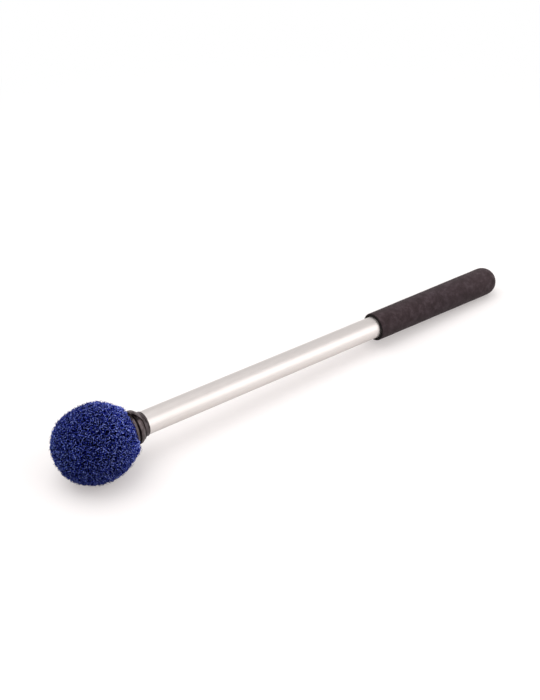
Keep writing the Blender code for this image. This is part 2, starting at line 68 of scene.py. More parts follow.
# Tube
TUBE_RADIUS = 9.525 * MM
TUBE_WALL = 1.5 * MM
TUBE_EDGE = 0.3 * MM
TUBE_EDGE_POINTS = 4
TUBE_START = 28.3 * MM
TUBE_END = 449.9 * MM
TUBE_RINGS = (40 * MM, 440 * MM, 9)  # first and last between its edges, and how many
TUBE_STEPS = 144
TUBE_SHARP = math.radians(40)
SEAT_GAP = 0.3 * MM  # between the tube and what sits on it

# Head, over the tips of the pile
HEAD_LENGTH = 66.0 * MM
HEAD_RADIUS = 30.5 * MM
DOME_POINTS = 260
SHOULDER_RADIUS = 19.1 * MM
SHOULDER_FOOT_RADIUS = 12.4 * MM
SHOULDER_FOOT = 59.4 * MM
SHOULDER_HANDLES = (0.5, 0.45)  # of its curve, at top and foot, as shares of its width
SHOULDER_FOOT_RISE = 0.6 * MM
SHOULDER_POINTS = 60
SLOPE_SHARE = 2e-3  # share of the surface to either side over which its slope is taken
GATHERS = 8
GATHER_HEIGHT = 0.9 * MM
GATHER_LENGTH = 13.0 * MM
GATHER_UNEVENNESS = (0.35, 3, 1.0)  # a second fold's height, its number and its phase

# Lumps of the padding: station, angle in degrees, height and reach in millimetres
LUMPS = (
    (57.5, 105, 1.9, 6.5),
    (57.5, 352, 1.0, 5.5),
    (46.0, 330, 0.7, 8.0),
    (24.0, 314, -0.3, 10.0),
    (13.0, 306, 1.2, 9.0),
    (4.0, 285, 0.6, 8.0),
    (9.0, 165, 0.6, 9.0),
)

# Pile, layer by layer: loops, sides of a loop, least and greatest radius of its strand, and
# the highest and lowest top under the tips
LOOP_RADIUS = (0.28 * MM, 0.40 * MM)
FIBRE_RADIUS = (0.06 * MM, 0.11 * MM)
LOOP_LAYERS = {
    "plush_loops": (2950, 5, LOOP_RADIUS, -0.35 * MM, 0.8 * MM),
    "plush_loops_between": (2600, 4, LOOP_RADIUS, 0.9 * MM, 1.7 * MM),
    "plush_loops_below": (2400, 4, LOOP_RADIUS, 1.8 * MM, 2.6 * MM),
    "plush_loops_stray": (300, 4, LOOP_RADIUS, -0.65 * MM, -0.1 * MM),
    "plush_fibres": (1200, 3, FIBRE_RADIUS, -1.2 * MM, -0.3 * MM),
}
# Each layer's sheen, and the tones of its dark, middling and light strands; the layers deeper in
# the pile have darker tones, as painted shade
OUTER_TONES = (0.38, (0.0005, 0.004, 0.225), (0.064, 0.100, 0.490), (0.325, 0.375, 0.780))
PILE_TONES = {
    "plush_loops": OUTER_TONES,
    # Painted shade: the layers between and below have darker tones than the outer loops
    "plush_loops_between": (
        0.0,
        (0.0002, 0.0012, 0.110),
        (0.0012, 0.005, 0.175),
        (0.006, 0.017, 0.250),
    ),
    "plush_loops_below": (
        0.0,
        (0.0002, 0.0012, 0.060),
        (0.0008, 0.003, 0.090),
        (0.002, 0.005, 0.120),
    ),
    "plush_loops_stray": OUTER_TONES,
    "plush_fibres": (
        0.15,
        (0.001, 0.004, 0.090),
        (0.020, 0.034, 0.230),
        (0.170, 0.210, 0.600),
    ),
}
PILE_SEED = 11
PILE_SHADE = (0.915, 0.995)  # share of the head's radius over which painted shade goes from the dark roots to the light tips
PILE_PAINTED_LIGHT_RUN = 56.0 * MM  # from the tip, over which painted light and shade change the pile's tone
LOOP_RINGS = 7
LOOP_STRAY = (12, 0.02)  # from its even place: steps along the head, and radians round it
LOOPS_END = 0.9995  # share of the head's surface that the loops cover
LEAN_SWING = 2.2  # half turns through which the lean of the loops wanders
LEAN_PATCH = 13 * MM
LEAN_SEED = 1
LEAN_STRAY = 0.6  # radians
LOOP_HALF_LENGTH = (0.95 * MM, 1.75 * MM)
LOOP_EASE = 0.85
LOOP_BEND = 0.9 * MM
LOOP_BEND_LEVEL = 0.4
LOOP_TWIST = 0.35 * MM
LOOP_END_DROP = 2.2 * MM
LOOP_DROP_POWER = 2.6
LOOP_TAPER = 0.3
LOOP_TAPER_POWER = 4

# Backing cloth under the pile
BACKING_DEPTH = 3.1 * MM
BACKING_THICKNESS = 1.0 * MM
BACKING_POINTS = 60
BACKING_STEPS = 96
BACKING_NEAREST = 1.9 * MM  # to the tube, where its tail takes over
BACKING_LUMPS_END = (59.5 * MM, 62.5 * MM)  # where it turns smooth, under the strip
BACKING_LUMPS_NEAREST = 1.0 * MM  # to the tube
# Its tail: height over the tube and station
BACKING_TAIL = (
    (1.8 * MM, SHOULDER_FOOT - 1.0 * MM),
    (1.8 * MM, 66.0 * MM),
    (0.6 * MM, 69.4 * MM),
    (0.36 * MM, 71.4 * MM),
    (SEAT_GAP, 71.4 * MM),
    (SEAT_GAP, SHOULDER_FOOT - 2.2 * MM),
)

# Strip: (degrees wound, head-side edge, shaft-side edge, thickness), lengths in millimetres
STRIP_ROUTE = (
    (-200, 61.2, 62.4, 0.5),
    (-160, 60.2, 64.3, 0.8),
    (-43, 60.2, 64.3, 0.55),
    (20, 60.2, 64.3, 1.0),
    (130, 60.2, 64.3, 1.1),
    (175, 61.0, 65.6, 0.9),
    (235, 64.6, 70.7, 0.7),
    (317, 64.8, 70.8, 0.55),
    (370, 64.9, 71.0, 0.9),
    (395, 64.9, 71.0, 1.3),
    (480, 64.9, 71.0, 1.45),
    (560, 64.7, 71.1, 1.0),
    (600, 64.5, 71.2, 0.7),
    (650, 62.8, 71.0, 0.6),
    (677, 62.2, 70.9, 0.8),
    (700, 62.6, 71.1, 1.0),
    (718, 63.8, 71.4, 1.2),
    (736, 66.5, 72.0, 1.25),
    (746, 68.0, 72.8, 1.1),
    (753, 69.0, 74.0, 0.8),
    (762, 69.9, 75.0, 0.6),
    (830, 70.2, 75.2, 0.6),
    (1000, 71.0, 75.0, 0.5),
    (1037, 70.2, 74.5, 0.4),
    (1070, 70.6, 74.7, 0.45),
    (1085, 71.4, 74.9, 0.5),
    (1100, 72.0, 75.0, 0.55),
    (1112, 72.7, 75.1, 0.55),
    (1120, 73.0, 75.1, 0.5),
    (1130, 73.4, 74.4, 0.4),
)
STRIP_STEP = 3  # degrees
STRIP_SOFTEN = 9  # steps over which its edges and thickness are evened out
STRIP_POINTS = 19
STRIP_UNDER_STEP = 3  # its underside has one in so many of these points
STRIP_SINK = 0.02 * MM
STRIP_FORM = (0.35, 0.65, 0.22)  # shares of the thickness: plain, in the middle, in its rolls
STRIP_EDGE_POWER = 5
STRIP_ROLLS = (0.1, 0.9)  # places of its rolled edges across it
STRIP_ROLL_WIDTH = 0.07
STRIP_WRINKLE = 0.16 * MM
# Wrinkles: weight, degrees for one, how many across, and the layer of the noise
STRIP_WRINKLES = ((1.0, 55, 5.5, 3.1), (0.5, 20, 12, 8.7))
STRIP_FROM, STRIP_TO = 58 * MM, 77 * MM  # stations that the relief map takes in
STRIP_GRID = 0.1 * MM
STRIP_SPAN = 0.5 * MM  # width over which the strip bridges what lies under it
STRIP_SHADED_EDGES = (2, 2)  # segments that the painted shade along the edges takes, head side and shaft side
# Painted shade where the strip lies in a fold: degrees wound, from and to, and segments from the
# head side
STRIP_FOLD_SHADE = (
    (-200, 200, 8),
    (-24, 21, 18),
    (342, 390, 9),
)
STRIP_MERGE = 1e-7
STRIP_SHARP = math.radians(60)
# The form under the strip, which falls from the tied cloth to the tube
SEAT_TOP = 12.3 * MM
SEAT_SLOPE = (66.8 * MM, 72.0 * MM)
SEAT_FOOT = TUBE_RADIUS + 0.05 * MM

# Grip
MALLET_LENGTH = 460.0 * MM
GRIP_MOUTH = 310.0 * MM
GRIP_MOUTH_RADIUS = 12.325 * MM
GRIP_MOUTH_SHADE = 1.0 * MM  # depth of the painted shade just inside the mouth
GRIP_BUTT_RADIUS = 12.875 * MM
GRIP_LIP = 1.2 * MM
GRIP_BORE_LIP = 0.9 * MM
GRIP_BORE = (GRIP_MOUTH + 1.4 * MM, 452.0 * MM)  # from its lip to its end
GRIP_ARC_POINTS = (5, 6, 20)  # inner lip, outer lip and dome
GRIP_RINGS = 72
GRIP_STEPS = 112
GRIP_SHARP = math.radians(50)
GRIP_SMOOTH = (1.5 * MM, 0.5 * MM)  # over the bore and from the mouth, where it stays even
GRIP_SWELLS = ((0.10 * MM, 14 * MM, 5), (0.05 * MM, 4 * MM, 6))  # height, size and seed

# Felt roll and felt pad
FELT_THICKNESS = 3.0 * MM
FELT_PITCH = 3.45 * MM
FELT_START = 15.325 * MM
FELT_TURNS = 2.04
FELT_STEPS = 220
FELT_POINTS = 11
FELT_WAVE = 0.12 * MM
FELT_WAVES = (9, 4, 2.0)  # to a turn, across the strip, and the layer of the noise
FELT_ROUNDING = 0.5 * MM
FELT_ROUNDED = 10  # each soft edge takes one part in so many of the width
FELT_HALF_LENGTH, FELT_RADIUS = 28.2 * MM, 25.7 * MM
FELT_FRONT = 14.0 * MM
PAD_POINTS = 26
PAD_STEPS = 96
PAD_BACK = 13.7 * MM
PAD_RIM = 0.6 * MM
PAD_RIM_BULGE = (0.2, 0.3)  # outwards and forwards, as shares of the rim
PAD_POCKETS = ((8.3 * MM, 12.2 * MM), (4.8 * MM, 9.0 * MM))  # radius and depth station
PAD_POCKET_EDGE = 0.4 * MM
PAD_SHARP = math.radians(50)

# Twine
TWINE_START = 61.04 * MM
TWINE_PITCH = 1.4 * MM
TWINE_TURNS = 3
TWINE_STEPS = 72  # to a turn
TWINE_SIDES = 8
TWINE_RADIUS = 11.78 * MM
TWINE_PLY_RADIUS = 0.22 * MM
TWINE_LAY = 2.4 * MM
TWINE_MERGE = 1e-8

# Studio
FLOOR_SIZE = 14.0
FLOOR_SEEN = (0.640, 0.626, 0.622)  # how the camera sees the light that falls on the floor
FLOOR_GLOW = (0.305, 0.282, 0.278)  # an even glow that only the camera sees, painted light that lightens and warms the shadow
FLOOR_MIRRORED = (0.985, 0.970, 0.960)  # in reflections
FLOOR_COLOUR = (0.20, 0.20, 0.20)  # as it throws light back
FLOOR_FADE = (0.30, 0.75)  # metres from the mallet's middle, from lit floor to plain white
WORLD_LEVEL, WORLD_OVERHEAD = 0.50, 1.15
# Softboxes: place, width and height, and radiance
SOFTBOXES = {
    "key": ((-0.40, 0.33, 1.45), (1.3, 1.4), 1.5),
    "front": ((0.85, -1.28, 0.72), (1.45, 1.5), 1.5),
}


def node_points(name):
    mesh = frame["nodes"][name].data
    flat = np.empty(len(mesh.vertices) * 3)
    mesh.vertices.foreach_get("co", flat)
    return flat.reshape(-1, 3)


def find_axis():
    """The transform from the mallet's own axis to the frame, from the tube and the head."""
    tube = node_points("shaft_tube")
    centre = tube.mean(axis=0)
    along = np.linalg.svd(tube - centre, full_matrices=False)[2][0]
    along *= math.copysign(1, along[0])
    tip = ((node_points("plush_cover") - centre) @ along).min()
    origin = Vector(centre + tip * along)
    along = Vector(along)
    across = Vector((0, -1, 0))
    up = across.cross(along).normalized()
    turn = Matrix((up, across, along)).transposed()
    return Matrix.Translation(origin) @ turn.to_4x4()


AXIS = find_axis()


def new_object(name, mesh, material):
    mesh.materials.append(material)
    piece = bpy.data.objects.new(name, mesh)
    bpy.context.scene.collection.objects.link(piece)
    return piece


def add_piece(name, mesh, material, node):
    """A visible piece that stands for this CAD node, whose own solid it hides."""
    piece = new_object(name, mesh, material)
    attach(piece, "root")
    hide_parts(node)


# Meshes


def smooth_mesh(name, points, faces):
    mesh = bpy.data.meshes.new(name)
    mesh.from_pydata(np.asarray(points).tolist(), [], faces)
    mesh.update()
    mesh.shade_smooth()
    return mesh


def laid_mesh(name, points, faces):
    """A smooth mesh from points in the mallet's own axes, laid down in the frame."""
    mesh = smooth_mesh(name, points, faces)
    mesh.transform(AXIS)
    return mesh


def press_on_floor(mesh):
    """Flattens what would reach below the floor."""
    for vertex in mesh.vertices:
        vertex.co.z = max(vertex.co.z, 0.0)


def clean_mesh(mesh, distance=MERGE_DISTANCE):
    """Joins points that coincide, such as those at a pole, and turns the faces outwards."""
    shape = bmesh.new()
    shape.from_mesh(mesh)
    bmesh.ops.remove_doubles(shape, verts=shape.verts, dist=distance)
    bmesh.ops.dissolve_degenerate(shape, edges=shape.edges, dist=distance)
    bmesh.ops.recalc_face_normals(shape, faces=shape.faces)
    shape.to_mesh(mesh)
    shape.free()


def turned(outline, steps, closed_ring):
    """Points and faces of an outline of (radius, station) pairs turned about the axis."""
    angles = np.linspace(0, 2 * math.pi, steps, endpoint=False)
    outline = np.array(outline)
    radius, station = outline[:, 0], outline[:, 1]
    points = np.empty((steps, len(outline), 3))
    points[..., 0] = radius * np.cos(angles)[:, None]
    points[..., 1] = radius * np.sin(angles)[:, None]
    points[..., 2] = station
    count = len(outline)
    rows = count if closed_ring else count - 1
    faces = []
    for step in range(steps):
        here, there = step * count, (step + 1) % steps * count
        for row in range(rows):
            following = (row + 1) % count
            faces.append((here + row, there + row, there + following, here + following))
    return points.reshape(-1, 3), faces


def arc(centre_radius, centre_station, radius, start, end, count):
    """Part of an outline: (radius, station) pairs on an arc, from and to in degrees."""
    angles = np.radians(np.linspace(start, end, count))
    radii = centre_radius + radius * np.cos(angles)
    stations = centre_station + radius * np.sin(angles)
    return list(zip(radii.tolist(), stations.tolist()))


def skin_faces(rings, per_ring):
    """Faces between rings that have equally many points."""
    faces = []
    for ring in range(rings - 1):
        here, there = ring * per_ring, (ring + 1) * per_ring
        for corner in range(per_ring):
            after = (corner + 1) % per_ring
            faces.append((here + corner, here + after, there + after, there + corner))
    return faces


def ring_skin(rings):
    """Points and faces of a closed skin over rings of equally many points."""
    count, per_ring = len(rings), len(rings[0])
    faces = skin_faces(count, per_ring)
    faces.append(tuple(range(per_ring)))
    faces.append(tuple(reversed(range((count - 1) * per_ring, count * per_ring))))
    return np.array(rings).reshape(-1, 3), faces


def smooth_step(share):
    share = np.clip(share, 0, 1)
    return share * share * (3 - 2 * share)


def smooth_field(points, size, seed):
    """A slow random field over points, one value each, about -1 to 1."""
    offset = Vector([seed * part for part in FIELD_OFFSET])
    return np.array([noise.noise(Vector(point) / size + offset) for point in points.tolist()])


# Materials


class Shader:
    """A node material with a Principled shader, and short calls for what feeds it."""

    def __init__(self, name, roughness, metallic=0.0, **constants):
        self.material = bpy.data.materials.new(name)
        self.material.use_nodes = True
        self.tree = self.material.node_tree
        self.surface = self.tree.nodes["Principled BSDF"]
        self.surface.inputs["Roughness"].default_value = roughness
        self.surface.inputs["Metallic"].default_value = metallic
        for socket, value in constants.items():
            self.surface.inputs[socket.replace("_", " ")].default_value = value
        self.place = self.tree.nodes.new("ShaderNodeTexCoord").outputs["Object"]

    def link(self, source, target):
        self.tree.links.new(source, target)

    def stretched(self, scale):
        mapping = self.tree.nodes.new("ShaderNodeMapping")
        mapping.inputs["Scale"].default_value = scale
        self.link(self.place, mapping.inputs["Vector"])
        return mapping.outputs["Vector"]

    def noise(self, size, detail=3.0, roughness=0.55, place=None):
        """Noise whose grains are about this size in metres."""
        node = self.tree.nodes.new("ShaderNodeTexNoise")
        node.inputs["Scale"].default_value = 1 / size
        node.inputs["Detail"].default_value = detail
        node.inputs["Roughness"].default_value = roughness
        self.link(place or self.place, node.inputs["Vector"])
        return node.outputs["Fac"]

    def ramp(self, factor, *stops):
        """Colours at factors: stops are (factor, (r, g, b))."""
        node = self.tree.nodes.new("ShaderNodeValToRGB")
        while len(node.color_ramp.elements) < len(stops):
            node.color_ramp.elements.new(0.5)
        for element, (position, colour) in zip(node.color_ramp.elements, stops):
            element.position = position
            element.color = (*colour, 1)
        self.link(factor, node.inputs["Fac"])
        return node.outputs["Color"]

    def multiply(self, colour, *others):
        """The product of several colours."""
        for other in others:
            node = self.tree.nodes.new("ShaderNodeMix")
            node.data_type = "RGBA"
            node.blend_type = "MULTIPLY"
            node.inputs["Factor"].default_value = 1.0
            self.link(colour, node.inputs["A"])
            self.link(other, node.inputs["B"])
            colour = node.outputs["Result"]
        return colour

    def from_station(self, station, scale):
        """Where a point lies from this station, in the mallet's own axes and this scale."""
        mapping = self.tree.nodes.new("ShaderNodeMapping")
        mapping.vector_type = "TEXTURE"
        mapping.inputs["Location"].default_value = AXIS @ Vector((0, 0, station))
        mapping.inputs["Rotation"].default_value = AXIS.to_euler()
        mapping.inputs["Scale"].default_value = scale
        self.link(self.place, mapping.inputs["Vector"])
        return mapping.outputs["Vector"]

    def within_head(self):
        """Distance from the middle of the head, where 1 is at the tips of the pile."""
        middle = HEAD_LENGTH / 2
        length = self.tree.nodes.new("ShaderNodeVectorMath")
        length.operation = "LENGTH"
        self.link(self.from_station(middle, (HEAD_RADIUS, HEAD_RADIUS, middle)), length.inputs[0])
        return length.outputs["Value"]

    def beyond(self, station, reach):
        """How far along the mallet from this station: 0 before it, 1 from this reach on."""
        split = self.tree.nodes.new("ShaderNodeSeparateXYZ")
        self.link(self.from_station(station, (reach, reach, reach)), split.inputs["Vector"])
        return split.outputs["Z"]

    def colour(self, source):
        self.link(source, self.surface.inputs["Base Color"])

    def roughness(self, factor, low, high):
        node = self.tree.nodes.new("ShaderNodeMapRange")
        node.inputs["To Min"].default_value = low
        node.inputs["To Max"].default_value = high
        self.link(factor, node.inputs["Value"])
        self.link(node.outputs["Result"], self.surface.inputs["Roughness"])

    def bump(self, height, depth):
        node = self.tree.nodes.new("ShaderNodeBump")
        node.inputs["Distance"].default_value = depth
        self.link(height, node.inputs["Height"])
        self.link(node.outputs["Normal"], self.surface.inputs["Normal"])


def plush_material(name, sheen, dark, middle, light):
    """Looped microfibre: each loop a little lighter or darker, with a bluish sheen, painted shade
    towards the roots, and painted light and shade along the head.
    """
    shader = Shader(
        name,
        0.75,
        Sheen_Weight=sheen,
        Sheen_Roughness=0.4,
        Sheen_Tint=(0.25, 0.32, 1.0, 1),
        Specular_IOR_Level=0.05 * sheen,
    )
    loops = shader.ramp(
        shader.noise(1.15 * MM, detail=1.0), (0.43, dark), (0.515, middle), (0.60, light)
    )
    patches = shader.ramp(
        shader.noise(5 * MM, detail=2.0), (0.36, (0.52, 0.54, 0.62)), (0.64, WHITE)
    )
    # Painted light and shade: darker a quarter of the way along the head, lighter towards the
    # binding
    painted_light_along_head = shader.ramp(
        shader.beyond(0.0, PILE_PAINTED_LIGHT_RUN),
        (0.0, (0.76, 0.84, 0.86)),
        (0.28, (0.57, 0.60, 0.72)),
        (0.60, (0.80, 0.80, 0.82)),
        (0.90, (1.06, 1.08, 1.16)),
    )
    # Painted shade: the pile darkens towards its roots, deep in the head
    painted_depth_shade = shader.ramp(
        shader.within_head(), (PILE_SHADE[0], (0.02, 0.04, 0.10)), (PILE_SHADE[1], WHITE)
    )
    shader.colour(shader.multiply(loops, patches, painted_light_along_head, painted_depth_shade))
    shader.bump(shader.noise(0.25 * MM, detail=2.0), 0.08 * MM)
    return shader.material


def backing_material():
    """Dark knitted cloth, seen only between the loops."""
    shader = Shader("plush_backing", 0.95, Specular_IOR_Level=0.1)
    knit = shader.ramp(
        shader.noise(0.8 * MM), (0.35, (0.001, 0.002, 0.018)), (0.7, (0.003, 0.005, 0.035))
    )
    shader.colour(knit)
    shader.bump(shader.noise(0.7 * MM), 0.3 * MM)
    return shader.material


def strip_material(name, shade):
    """Black-brown satin strip: fine lengthwise streaks, with painted light and shade that make it
    lighter on the turns near the head and darker towards the tube.
    """
    shader = Shader(name, 0.4, Specular_IOR_Level=0.35 * shade)
    tones = (
        (0.32, (0.072, 0.051, 0.049)),
        (0.55, (0.125, 0.094, 0.098)),
        (0.75, (0.190, 0.155, 0.166)),
    )
    shaded = [(stop, [part * shade for part in colour]) for stop, colour in tones]
    tone = shader.ramp(shader.noise(4 * MM), *shaded)
    streaks = shader.noise(0.9 * MM, place=shader.stretched((1.0, 0.14, 0.14)), detail=4.0)
    fine = shader.ramp(streaks, (0.40, (0.22, 0.16, 0.15)), (0.62, WHITE))
    # Painted light and shade: lighter on the head-side turns, darker towards the tube
    painted_light_along_strip = shader.ramp(
        shader.beyond(STRIP_FROM, STRIP_TO - STRIP_FROM),
        (0.15, (1.28, 1.24, 1.24)),
        (0.45, (1.04, 1.02, 1.02)),
        (0.75, (0.70, 0.67, 0.69)),
    )
    shader.colour(shader.multiply(tone, fine, painted_light_along_strip))
    shader.roughness(streaks, 0.30, 0.52)
    shader.bump(streaks, 0.12 * MM)
    return shader.material


def tube_material():
    """Satin anodised aluminium: faint lengthwise drawing marks in tone and gloss."""
    shader = Shader("anodised_aluminium", 0.3, 1.0)
    grain = shader.noise(0.35 * MM, place=shader.stretched((0.02, 1.0, 1.0)), detail=4.0)
    tone = shader.ramp(grain, (0.3, (0.588, 0.547, 0.530)), (0.7, (0.643, 0.600, 0.583)))
    worn = shader.ramp(shader.noise(30 * MM), (0.3, (0.97, 0.965, 0.96)), (0.7, WHITE))
    shader.colour(shader.multiply(tone, worn))
    shader.roughness(grain, 0.42, 0.50)
    shader.bump(grain, 0.01 * MM)
    return shader.material


def foam_material():
    """Closed-cell foam: soft mottling over fine pores, with painted shade just inside the mouth and
    painted light and shade that lighten it towards the domed end.
    """
    shader = Shader(
        "grip_foam",
        0.88,
        Sheen_Weight=0.08,
        Sheen_Roughness=0.5,
        Sheen_Tint=(0.9, 0.85, 0.85, 1),
        Specular_IOR_Level=0.16,
    )
    mottle = shader.ramp(
        shader.noise(5 * MM, detail=4.0, roughness=0.6),
        (0.30, (0.0320, 0.0190, 0.0210)),
        (0.50, (0.0462, 0.0283, 0.0325)),
        (0.70, (0.0740, 0.0505, 0.0570)),
    )
    pores = shader.ramp(shader.noise(0.7 * MM), (0.33, (0.72, 0.72, 0.72)), (0.6, WHITE))
    # Painted light and shade: darker near the mouth, lighter towards the domed end
    along = shader.ramp(
        shader.beyond(GRIP_MOUTH, MALLET_LENGTH - GRIP_MOUTH),
        (0.13, (0.84, 0.84, 0.83)),
        (0.50, (0.84, 0.855, 0.875)),
        (0.85, (0.975, 1.0, 0.985)),
    )
    # Painted shade: dark just inside the mouth, where its face lies in shadow
    painted_mouth_shade = shader.ramp(
        shader.beyond(GRIP_MOUTH, GRIP_MOUTH_SHADE), (0.0, (0.12, 0.10, 0.10)), (1.0, WHITE)
    )
    shader.colour(shader.multiply(mottle, pores, along, painted_mouth_shade))
    shader.bump(shader.noise(0.6 * MM), 0.12 * MM)
    return shader.material


def wood_material():
    """Turned beech: rings stretched along the grain, with short darker flecks."""
    shader = Shader("turned_beech", 0.62)
    rings = shader.noise(2.2 * MM, place=shader.stretched((0.06, 1.0, 1.0)), detail=4.0)
    flecks = shader.noise(0.6 * MM, place=shader.stretched((0.2, 1.0, 1.0)))
    tone = shader.ramp(rings, (0.3, (0.42, 0.25, 0.12)), (0.7, (0.66, 0.46, 0.27)))
    fleck = shader.ramp(flecks, (0.3, (0.82, 0.78, 0.74)), (0.5, WHITE))
    shader.colour(shader.multiply(tone, fleck))
    shader.bump(rings, 0.05 * MM)
    return shader.material


def zinc_material():
    shader = Shader("zinc_plate", 0.35, 1.0)
    spangle = shader.noise(1.5 * MM)
    shader.colour(shader.ramp(spangle, (0.3, (0.50, 0.50, 0.47)), (0.7, (0.66, 0.65, 0.60))))
    shader.roughness(spangle, 0.28, 0.48)
    return shader.material


def plastic_material():
    shader = Shader("black_moulding", 0.5)
    grain = shader.noise(0.4 * MM)
    shader.colour(
        shader.ramp(grain, (0.3, (0.018, 0.018, 0.018)), (0.7, (0.030, 0.030, 0.030)))
    )
    shader.roughness(grain, 0.42, 0.58)
    shader.bump(grain, 0.03 * MM)
    return shader.material


def felt_material():
    shader = Shader("pressed_felt", 0.95, Sheen_Weight=0.3)
    fibres = shader.noise(0.5 * MM, detail=5.0, roughness=0.7)
    shader.colour(shader.ramp(fibres, (0.3, (0.30, 0.29, 0.27)), (0.7, (0.52, 0.50, 0.46))))
    shader.bump(fibres, 0.2 * MM)
    return shader.material


def twine_material():
    shader = Shader("waxed_twine", 0.7)
    strands = shader.noise(0.3 * MM, detail=4.0)
    shader.colour(shader.ramp(strands, (0.3, (0.50, 0.42, 0.28)), (0.7, (0.74, 0.66, 0.48))))
    shader.bump(strands, 0.08 * MM)
    return shader.material


# Head


def head_profile():
    """Dense (radius, station) line over the pile's tips, from the front pole to the binding."""
    half = HEAD_LENGTH / 2
    rim = math.pi - math.asin(SHOULDER_RADIUS / HEAD_RADIUS)
    angles = np.linspace(0, rim, DOME_POINTS)
    dome = np.stack([HEAD_RADIUS * np.sin(angles), half - half * np.cos(angles)], axis=1)
    start = dome[-1]
    slope = (dome[-1] - dome[-2]) / np.linalg.norm(dome[-1] - dome[-2])
    foot = np.array((SHOULDER_FOOT_RADIUS, SHOULDER_FOOT))
    width = SHOULDER_RADIUS - SHOULDER_FOOT_RADIUS
    above = start + slope * width * SHOULDER_HANDLES[0]
    below = foot + np.array((width * SHOULDER_HANDLES[1], SHOULDER_FOOT_RISE))
    share = np.linspace(0, 1, SHOULDER_POINTS)[1:, None]
    shoulder = (
        (1 - share) ** 3 * start
        + 3 * (1 - share) ** 2 * share * above
        + 3 * (1 - share) * share**2 * below
        + share**3 * foot
    )
    return np.vstack([dome, shoulder])


def gathered(radius, station, angle):
    """Radius with the folds that run out from the binding over the shoulder."""
    swell = smooth_step((station - SHOULDER_FOOT + GATHER_LENGTH) / GATHER_LENGTH)
    height, folds, phase = GATHER_UNEVENNESS
    fold = np.cos(GATHERS * angle) + height * np.cos(folds * angle + phase)
    return radius + GATHER_HEIGHT * swell * fold


def lumps(points, profile):
    """Height over the plain form of the padding's lumps, at points near its surface."""
    total = np.zeros(points.shape[:-1])
    for station, degrees, height, reach in LUMPS:
        radius = np.interp(station * MM, profile[:, 1], profile[:, 0])
        angle = math.radians(degrees)
        top = np.array((radius * math.cos(angle), radius * math.sin(angle), station * MM))
        distance = np.linalg.norm(points - top, axis=-1)
        total += height * MM * np.exp(-((distance / (reach * MM)) ** 2))
    return total


def head_surface(share, angle, profile, reach):
    """Points and outward normals where the profile's cumulative reach is at this share."""

    def on_profile(place):
        return np.array([np.interp(place, reach, column) for column in profile.T])

    radius, station = on_profile(share)
    ahead = on_profile(np.minimum(share + SLOPE_SHARE, 1))
    behind = on_profile(np.maximum(share - SLOPE_SHARE, 0))
    run_radius, run_station = ahead - behind
    length = np.hypot(run_radius, run_station)
    normal_radius, normal_station = run_station / length, -run_radius / length
    radius = gathered(radius, station, angle)
    cosine, sine = np.cos(angle), np.sin(angle)
    point = np.stack([radius * cosine, radius * sine, station], axis=-1)
    normal = np.stack([normal_radius * cosine, normal_radius * sine, normal_station], axis=-1)
    return point + normal * lumps(point, profile)[..., None], normal


def loop_tubes(centres, across, outward, radius, sides):
    """Closed tubes round many short centre lines: points, and the faces of one tube."""
    count, rings = centres.shape[:2]
    turns = np.linspace(0, 2 * math.pi, sides, endpoint=False) + math.pi / sides
    ring = (
        across[:, :, None] * np.cos(turns)[None, None, :, None]
        + outward[:, :, None] * np.sin(turns)[None, None, :, None]
    )
    points = centres[:, :, None] + ring * radius[:, :, None, None]
    faces = skin_faces(rings, sides)
    faces.append(tuple(range(sides))[::-1])
    faces.append(tuple(range((rings - 1) * sides, rings * sides)))
    return points.reshape(count, rings * sides, 3), faces


def grow_loops(profile, loops, sides, strand, highest, lowest, seed):
    """Loops of pile spread evenly over the head, leaning in slowly changing directions."""
    random = np.random.default_rng(seed)
    steps = np.linalg.norm(np.diff(profile, axis=0), axis=1)
    rings = steps * (profile[1:, 0] + profile[:-1, 0])
    reach = np.concatenate([[0], np.cumsum(rings)])
    reach /= reach[-1]
    order = np.arange(loops)
    share = (order + 0.5 + random.normal(0, LOOP_STRAY[0], loops)) / loops
    share = np.clip(np.abs(share), 0, LOOPS_END)
    golden_turns = order * math.pi * (3 - math.sqrt(5))
    angle = golden_turns + random.normal(0, LOOP_STRAY[1], loops)
    point, normal = head_surface(share, angle, profile, reach)

    meridian = np.cross(normal, np.stack([-np.sin(angle), np.cos(angle), 0 * angle], axis=-1))
    ring_way = np.cross(normal, meridian)
    wander = math.pi * LEAN_SWING * smooth_field(point, LEAN_PATCH, LEAN_SEED)
    lean = wander + random.normal(0, LEAN_STRAY, loops)
    way = meridian * np.cos(lean)[:, None] + ring_way * np.sin(lean)[:, None]
    aside = np.cross(normal, way)

    half = random.uniform(*LOOP_HALF_LENGTH, loops)
    sink = random.uniform(highest, lowest, loops)
    bend = random.normal(0, 1, loops) * LOOP_BEND
    thickness = random.uniform(*strand, loops)
    twist = random.normal(0, LOOP_TWIST, loops)

    run = np.linspace(-1, 1, LOOP_RINGS)
    along = half[:, None] * np.sign(run) * np.abs(run) ** LOOP_EASE
    side = bend[:, None] * (run**2 - LOOP_BEND_LEVEL) + twist[:, None] * run
    drop = sink[:, None] + LOOP_END_DROP * np.abs(run) ** LOOP_DROP_POWER
    top = point - normal * thickness[:, None]
    centres = (
        top[:, None]
        + way[:, None] * along[..., None]
        + aside[:, None] * side[..., None]
        - normal[:, None] * drop[..., None]
    )
    heading = np.gradient(centres, axis=1)
    heading /= np.linalg.norm(heading, axis=2, keepdims=True)
    across = np.cross(heading, np.broadcast_to(normal[:, None], heading.shape))
    across /= np.linalg.norm(across, axis=2, keepdims=True)
    outward = np.cross(across, heading)
    radius = thickness[:, None] * (1 - LOOP_TAPER * np.abs(run) ** LOOP_TAPER_POWER)
    return loop_tubes(centres, across, outward, radius, sides)


